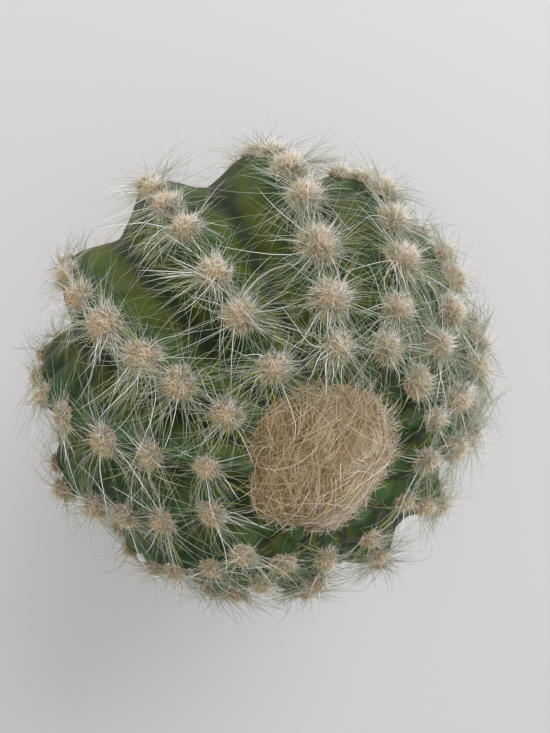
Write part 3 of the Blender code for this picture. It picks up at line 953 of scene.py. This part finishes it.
def pot_profile():
    """Radius and height from the middle of the underside, up the outside, over the rim and down inside."""
    foot, lip, bead, hub = 0.9 * MM, 0.9 * MM, 0.5 * MM, 0.5 * MM
    band_foot = POT_HEIGHT - BAND_HEIGHT
    rim, ledge, turn = POT_HEIGHT - lip, band_foot - bead, 2 * POT_FLOOR
    return np.concatenate(
        [
            run((hub, 0), (POT_BASE_RADIUS - foot, 0), 24),
            arc((POT_BASE_RADIUS - foot, foot), foot, -90, 0),
            run((POT_BASE_RADIUS, foot), (wall_radius(ledge), ledge), 20),
            arc((wall_radius(band_foot) + bead, ledge), bead, 180, 90, 4),
            arc((POT_RADIUS - bead, band_foot + bead), bead, -90, 0, 5),
            run((POT_RADIUS, band_foot + bead), (POT_RADIUS, rim), 6),
            arc((POT_RADIUS - lip, rim), lip, 0, 90),
            arc((inner_radius(POT_HEIGHT) + lip, rim), lip, 90, 180),
            run((inner_radius(ledge), ledge), (inner_radius(turn), turn), 12),
            run((inner_radius(POT_FLOOR) - POT_FLOOR / 2, POT_FLOOR), (hub, POT_FLOOR), 12),
        ]
    )


# %% Material of the pot
DARK_CLAY, LIGHT_CLAY, SCUFFED = (0.26, 0.098, 0.052), (0.33, 0.13, 0.07), (0.4, 0.2, 0.13)
DUST = (0.44, 0.31, 0.22)
MOULD_RING = 0.9 * MM  # pitch of the faint rings


def pot_material():
    """Brown plastic: fine mould grain, faint rings from the mould, dust on the rim and a pale line of
    dried minerals that climbs from the base."""
    recipe = Recipe("pot_plastic", Specular_IOR_Level=0.5)
    height = recipe.node("ShaderNodeSeparateXYZ", {}, {0: recipe.place()}, "Z")
    cloud = recipe.noise(45, 4.0, 0.6)
    grain = recipe.noise(5200, 2.0, 0.5)
    brown = recipe.mix(cloud.between(0.35, 0.65), DARK_CLAY, LIGHT_CLAY)
    dust = recipe.noise(260, 5.0, 0.7).between(0.45, 0.75)
    rim = height.between(POT_HEIGHT - 2 * MM, POT_HEIGHT) * 0.45
    foot = (1 - height.between(0.0, 9 * MM)) * 0.5
    tide = recipe.noise(120, 4.0, 0.65).between(0.5, 0.62) * (1 - height.between(8 * MM, 20 * MM)) * 0.35
    brown = recipe.mix(dust * (rim + foot) + tide, brown, DUST)
    scuff = recipe.noise(700, 6.0, 0.75).between(0.64, 0.72) * 0.35
    recipe.feed("Base Color", recipe.mix(scuff, brown, SCUFFED))
    recipe.feed("Roughness", 0.42 + 0.16 * cloud + 0.3 * dust * (rim + foot))
    rings = recipe.node("ShaderNodeMath", {"operation": "SINE"}, {0: height * (2 * np.pi / MOULD_RING)})
    recipe.bump(grain * 0.5 + rings * 0.12 + scuff, 0.03 * MM, 0.7)
    return recipe.material


# %% Build the pot
def make_drain_cutter():
    """An upright prism with 24 sides on each drain hole."""
    sides = 24
    around = bearings(sides)
    points, faces = [], []
    for hole in range(DRAIN_COUNT):
        centre = around_axis(DRAIN_CIRCLE, 2 * np.pi * hole / DRAIN_COUNT, 0)
        first = len(points) * 2 * sides
        points.append(np.concatenate([centre + around_axis(DRAIN_RADIUS, around, z) for z in DRAIN_CUT]))
        low, high = first + np.arange(sides), first + sides + np.arange(sides)
        faces += np.stack([low, np.roll(low, -1), np.roll(high, -1), high], -1).tolist()
        faces += [low[::-1].tolist(), high.tolist()]
    mesh = bpy.data.meshes.new("drain_cutter")
    mesh.from_pydata(np.concatenate(points).tolist(), [], faces)
    return new_object("drain_cutter", mesh)


def cut_holes(piece, cutter):
    """Cuts the cutter out of the piece, keeps the result as the piece's mesh and removes the cutter."""
    modifier = piece.modifiers.new("drain holes", "BOOLEAN")
    modifier.operation = "DIFFERENCE"
    modifier.object = cutter
    seen = piece.evaluated_get(bpy.context.evaluated_depsgraph_get())
    mesh = bpy.data.meshes.new_from_object(seen)
    piece.modifiers.clear()
    piece.data = mesh
    bpy.data.objects.remove(cutter, do_unlink=True)


def make_pot():
    profile = pot_profile()
    columns, rows = 160, len(profile)
    rings = around_axis(profile[:, :1], bearings(columns), profile[:, 1:]).reshape(-1, 3)
    poles = np.array([[0, 0, 0], [0, 0, POT_FLOOR]])
    faces = [
        ring_faces(rows, columns)[:, ::-1],
        cap_faces(0, columns, len(rings), False),
        cap_faces(len(rings) - columns, columns, len(rings) + 1, True),
    ]
    piece = make_piece("moulded_pot", np.concatenate([rings, poles]), faces, pot_material())
    cut_holes(piece, make_drain_cutter())
    piece.data.set_sharp_from_angle(angle=np.radians(35))
    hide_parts("pot")
    print("pot", rows, "rings,", len(piece.data.polygons), "faces")


make_pot()

# %% [markdown]
# ## The soil
#
# Potting mix is dark crumbs of peat and bark with a little pale grit. Seen close, its surface is the crumbs,
# so a lumpy sheet alone looks like mud. The sheet here only fills the pot, and over a thousand loose crumbs,
# each a small faceted lump of thirty-two faces, lie half sunk in it.

# %% Ground
SOIL_FOOT = 1.7 * MM
SOIL_GAP = 0.3 * MM
PEAT, BARK, FIBRE = (0.012, 0.008, 0.005), (0.06, 0.038, 0.022), (0.13, 0.085, 0.05)


def ball_underside(x, y):
    """Height of the lowest skin over a place: the ball's centre less the arc of its sphere."""
    radius = np.hypot(x, y)
    return BALL_CENTRE[2] - np.sqrt(np.clip(BALL_RADIUS**2 - radius**2, 0, None))


def ground_height(x, y):
    """The soil's own level with lumps, pressed down where the ball sits on it."""
    lumps = 0.45 * MM * swell(flat(x, y), 5 * MM, 31) + 0.2 * MM * swell(flat(x, y), 1.8 * MM, 32)
    return np.minimum(SOIL_TOP - 0.5 * MM + lumps, ball_underside(x, y) - SOIL_GAP)


def soil_material():
    recipe = Recipe("potting_soil", Roughness=0.95, Specular_IOR_Level=0.25)
    cloud = recipe.noise(420, 5.0, 0.7)
    earth = recipe.mix(cloud.between(0.3, 0.7), PEAT, BARK)
    fibre = recipe.noise(1500, 3.0, 0.6).between(0.6, 0.7)
    recipe.feed("Base Color", recipe.mix(fibre * 0.5, earth, FIBRE))
    recipe.bump(cloud + fibre * 0.3, 0.25 * MM)
    return recipe.material


def make_ground(material):
    """A closed plug: the lumpy top as rings of points, the side along the pot's wall, and a flat foot."""
    columns, rows = 160, 60
    around = bearings(columns)
    radius = (inner_radius(SOIL_TOP) - SOIL_GAP) * np.linspace(0.01, 1.0, rows)[:, None]
    x, y = radius * np.cos(around), radius * np.sin(around)
    top = np.stack([x, y, ground_height(x, y)], -1)
    foot = around_axis(inner_radius(SOIL_FOOT) - 1.2 * MM, around, SOIL_FOOT)[None]
    rings = np.concatenate([top, foot])
    points, faces = closed_shape(rings, (0, 0, ground_height(0.0, 0.0)), (0, 0, SOIL_FOOT))
    return make_piece("ground", points, faces, material)


# %% Crumbs
CRUMBS_FROM = 14 * MM  # the ball hides the soil nearer to the middle than this
CRUMB_CORNERS = np.array([[1, 0, 0], [-1, 0, 0], [0, 1, 0], [0, -1, 0], [0, 0, 1], [0, 0, -1]], float)
CRUMB_SIDES = [(0, 2, 4), (2, 1, 4), (1, 3, 4), (3, 0, 4), (2, 0, 5), (1, 2, 5), (3, 1, 5), (0, 3, 5)]


def crumb_shape():
    """An octahedron whose every side is cut in four and pushed out to a ball: 18 points and 32 faces."""
    points, middles, faces = list(CRUMB_CORNERS), {}, []
    for a, b, c in CRUMB_SIDES:
        half = []
        for pair in ((a, b), (b, c), (c, a)):
            key = tuple(sorted(pair))
            if key not in middles:
                middles[key] = len(points)
                points.append(unit(points[pair[0]] + points[pair[1]]))
            half.append(middles[key])
        faces += [(a, half[0], half[2]), (b, half[1], half[0]), (c, half[2], half[1]), tuple(half)]
    return np.array(points), np.array(faces)


def make_crumbs(name, rng, count, smallest, largest, material):
    """Copies of the crumb, from smallest to largest in millimetres, each stretched, turned and roughened,
    on the open ring of soil round the ball."""
    shape, sides = crumb_shape()
    outer = inner_radius(SOIL_TOP) - 0.9 * MM
    radius = np.sqrt(rng.uniform(CRUMBS_FROM**2, outer**2, count))
    around = rng.uniform(0, 2 * np.pi, count)
    size = (smallest + (largest - smallest) * rng.uniform(0, 1, count) ** 2.5) * MM / 2
    stretch = rng.uniform(0.6, 1.25, (count, 1, 3))
    rough = 1 + rng.normal(0, 0.14, (count, len(shape), 1))
    turn = unit(rng.normal(size=(count, 3, 3)))
    first = turn[:, 0]
    second = unit(np.cross(first, turn[:, 1]))
    axes = np.stack([first, second, np.cross(first, second)], 1)
    lumps = np.einsum("nij,njk->nik", shape * stretch * rough * size[:, None, None], axes)
    x, y = radius * np.cos(around), radius * np.sin(around)
    room = ball_underside(x, y) - size * 1.2
    z = np.minimum(ground_height(x, y) + 0.35 * size, room)
    points = lumps + np.stack([x, y, z], -1)[:, None]
    faces = (np.arange(count)[:, None, None] * len(shape) + sides).reshape(-1, 3)
    return make_piece(name, points.reshape(-1, 3), [faces], material, smooth=False)


def grit_material():
    recipe = Recipe("grit", Roughness=0.85)
    recipe.feed("Base Color", recipe.mix(recipe.noise(900, 3.0, 0.6), (0.3, 0.26, 0.2), (0.72, 0.69, 0.62)))
    return recipe.material


soil_stuff = soil_material()
soil_pieces = [
    make_ground(soil_stuff),
    make_crumbs("soil_crumbs", np.random.default_rng(51), 1500, 0.5, 2.6, soil_stuff),
    make_crumbs("soil_grit", np.random.default_rng(52), 110, 0.4, 1.5, grit_material()),
]
for piece in soil_pieces:
    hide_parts("soil")
print("soil", [len(piece.data.polygons) for piece in soil_pieces])

# %% [markdown]
# ## The floor, the light and the camera
#
# The plant is looked at from above, fifteen centimetres from its middle. A pale table fills the view. One
# lamp would draw hard shadows of every hair, so two wide discs of light and a pale sky light it softly.

# %% Stage
VIEW_SHARE = 4.12  # camera distance, in radii of the ball
VIEW_TILT = np.radians(8.4)
VIEW_ROLL = np.radians(-50.7)
VIEW_SHIFT = (0.0184, 0.0085)  # of the distance, to the right and up
LENS = 43.4
TABLE_GREY = (0.495, 0.49, 0.5)
DAYLIGHT, WARM_LIGHT = (0.985, 0.985, 1.0), (1.0, 0.985, 0.97)


def make_floor():
    mesh = bpy.data.meshes.new("table_top")
    half = 1.5
    corners = [(-half, -half, 0), (half, -half, 0), (half, half, 0), (-half, half, 0)]
    mesh.from_pydata(corners, [], [(0, 1, 2, 3)])
    recipe = Recipe("table_top", Roughness=0.6)
    recipe.feed("Base Color", TABLE_GREY)
    mesh.materials.append(recipe.material)
    new_object("table_top", mesh)


def make_camera():
    """The camera's axes: backward is tilted from the vertical, away from the lean. The crown's direction
    in the picture fixes the roll."""
    backward = np.array([0, -np.sin(VIEW_TILT), np.cos(VIEW_TILT)])
    lean = np.array([0, np.cos(VIEW_TILT), np.sin(VIEW_TILT)])
    other = np.cross(backward, lean)
    right = np.cos(VIEW_ROLL) * lean - np.sin(VIEW_ROLL) * other
    up = np.sin(VIEW_ROLL) * lean + np.cos(VIEW_ROLL) * other
    distance = VIEW_SHARE * BALL_RADIUS
    place = np.array(BALL_CENTRE) + distance * (backward + VIEW_SHIFT[0] * right + VIEW_SHIFT[1] * up)
    camera = new_object("camera", bpy.data.cameras.new("camera"))
    camera.data.lens = LENS
    camera.data.clip_start = 0.01
    turn = Matrix([right, up, backward]).transposed().to_4x4()
    camera.matrix_world = Matrix.Translation(place) @ turn
    bpy.context.scene.camera = camera
    return right, up, backward


def make_light(name, direction, distance, size, power, colour):
    """A disc of light that faces the ball. Distance and size are in metres, and the power in watts."""
    data = bpy.data.lights.new(name, "AREA")
    data.shape = "DISK"
    data.size = size
    data.energy = power
    data.color = colour
    light = new_object(name, data)
    light.location = np.array(BALL_CENTRE) + distance * unit(direction)
    light.rotation_euler = Vector(unit(direction)).to_track_quat("Z", "Y").to_euler()


make_floor()
right, up, backward = make_camera()
make_light("window", 0.5 * right + 0.75 * up + 0.85 * backward, 0.9, 0.6, 5.6, DAYLIGHT)
make_light("ceiling", 0.1 * right + 0.1 * up + 1.0 * backward, 1.4, 1.6, 5.0, WARM_LIGHT)
world = bpy.data.worlds.new("room")
world.use_nodes = True
world.node_tree.nodes["Background"].inputs[0].default_value = (*WARM_LIGHT, 1)
world.node_tree.nodes["Background"].inputs[1].default_value = 0.8
bpy.context.scene.world = world
bpy.context.scene.view_settings.view_transform = "Standard"
